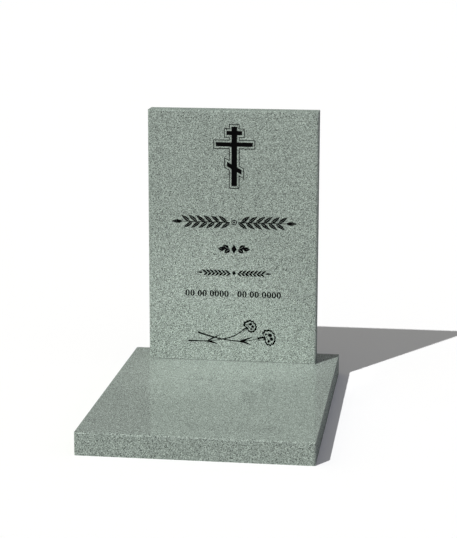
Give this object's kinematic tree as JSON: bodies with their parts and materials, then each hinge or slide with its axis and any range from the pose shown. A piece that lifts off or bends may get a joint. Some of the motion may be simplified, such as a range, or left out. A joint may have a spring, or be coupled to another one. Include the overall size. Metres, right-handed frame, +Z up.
{
  "type": "grave slab with upright headstone",
  "caption": "Level granite grave slab with an upright rectangular headstone, its face engraved with a three-bar cross, leaf garlands, plain noughts and two crossed carnations.",
  "frame": {"origin": "middle of the slab's underside, on the ground", "axes": "+Z up, -Y towards the front of the grave (the engraved face looks that way), +X across to the viewer's right"},
  "size_m": [0.5, 0.7, 0.6515],
  "materials": {
    "granite": "polished",
    "joint_adhesive": "matte",
    "dowel_steel": "satin",
    "enamel": "satin"
  },
  "bodies": {
    "root": {"ledger_slab": "granite", "headstone": "granite", "joint_bed": "joint_adhesive", "dowel_left": "dowel_steel", "dowel_right": "dowel_steel", "cross_fill": "enamel", "cross_border_fill": "enamel", "garland_left_fill": "enamel", "garland_right_fill": "enamel", "garland_ring_fill": "enamel", "sprig_fill": "enamel", "band_left_fill": "enamel", "band_right_fill": "enamel", "band_lozenge_fill": "enamel", "date_left_fill": "enamel", "date_dash_fill": "enamel", "date_right_fill": "enamel", "carnation_stems_fill": "enamel", "upper_bloom_fill": "enamel", "lower_bloom_fill": "enamel"}
  },
  "joints": []
}
